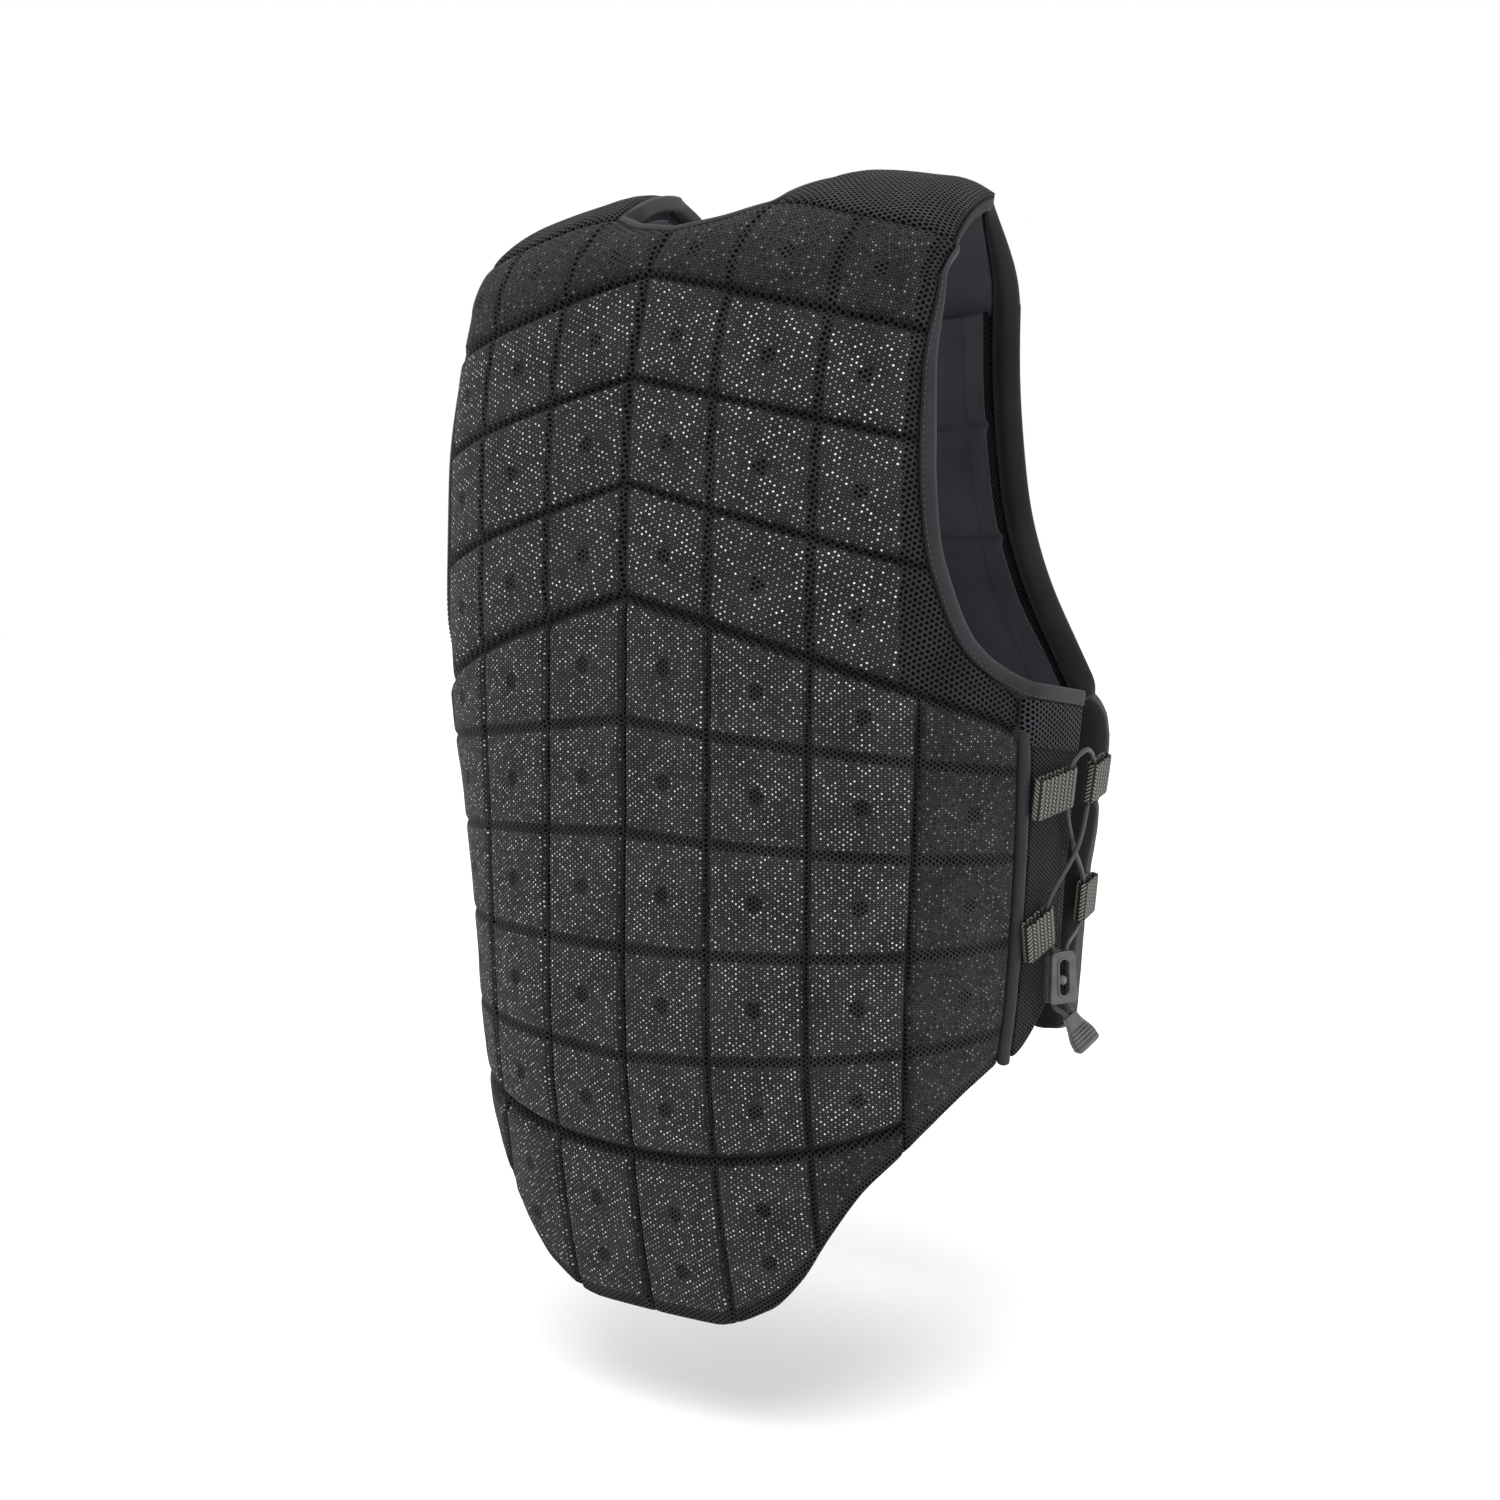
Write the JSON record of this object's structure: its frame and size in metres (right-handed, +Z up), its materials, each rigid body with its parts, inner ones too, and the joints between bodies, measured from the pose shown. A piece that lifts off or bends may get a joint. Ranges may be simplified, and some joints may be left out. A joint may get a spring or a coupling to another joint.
{
  "type": "equestrian body protector",
  "caption": "Sleeveless padded riding vest of foam blocks under mesh cloth, with a long curved tail, bound armholes, a front zip and laced sides with cord locks.",
  "frame": {"origin": "midway between the shoulders, at the height where the straps rest on them", "axes": "+Z up, +Y towards the wearer's back, +X towards the wearer's left"},
  "size_m": [0.3686, 0.2705, 0.5726],
  "materials": {
    "block_mesh": "open warp-knit mesh over foam blocks",
    "fine_mesh": "fine knit mesh",
    "smooth_cloth": "smooth knit, dull",
    "binding": "brushed stretch binding",
    "lining": "plain woven lining",
    "webbing": "herringbone elastic webbing",
    "lace": "round elastic cord",
    "lock_plastic": "satin moulded",
    "roller_plastic": "polished end",
    "pull_plastic": "satin with pale shine",
    "zip_plastic": "moulded teeth on woven tape"
  },
  "bodies": {
    "vest": {"yoke_left": "block_mesh", "yoke_right": "block_mesh", "lumbar_left": "block_mesh", "lumbar_right": "block_mesh", "side_left": "block_mesh", "side_right": "block_mesh", "tail_left": "block_mesh", "tail_right": "block_mesh", "chest_left": "block_mesh", "chest_right": "block_mesh", "waist_left": "smooth_cloth", "waist_right": "smooth_cloth", "shoulder_strap_left": "fine_mesh", "shoulder_strap_right": "fine_mesh", "side_flap_left": "fine_mesh", "side_flap_right": "fine_mesh", "armhole_tape_left": "binding", "armhole_tape_right": "binding", "front_roll_left": "smooth_cloth", "front_roll_right": "smooth_cloth", "neck_tape_left": "binding", "neck_tape_right": "binding", "side_piping_left": "binding", "side_piping_right": "binding", "loop_back_top_left": "webbing", "loop_back_top_right": "webbing", "loop_back_bottom_left": "webbing", "loop_back_bottom_right": "webbing", "loop_front_top_left": "webbing", "loop_front_top_right": "webbing", "loop_front_bottom_left": "webbing", "loop_front_bottom_right": "webbing", "lace_left": "lace", "lace_right": "lace", "cord_lock_left": "lock_plastic", "cord_lock_right": "lock_plastic", "cord_pull_left": "pull_plastic", "cord_pull_right": "pull_plastic", "front_zip": "zip_plastic"},
    "roller_left": {"lock_roller_left": "roller_plastic"},
    "roller_right": {"lock_roller_right": "roller_plastic"}
  },
  "joints": [
    {"name": "lock_slide_left", "type": "slide", "parent": "vest", "child": "roller_left", "axis": [-0.0156, 0.0312, 0.9994], "range_m": [-0.0045, 0.0075]},
    {"name": "lock_slide_right", "type": "slide", "parent": "vest", "child": "roller_right", "axis": [0.0156, 0.0312, 0.9994], "range_m": [-0.0045, 0.0075]}
  ]
}
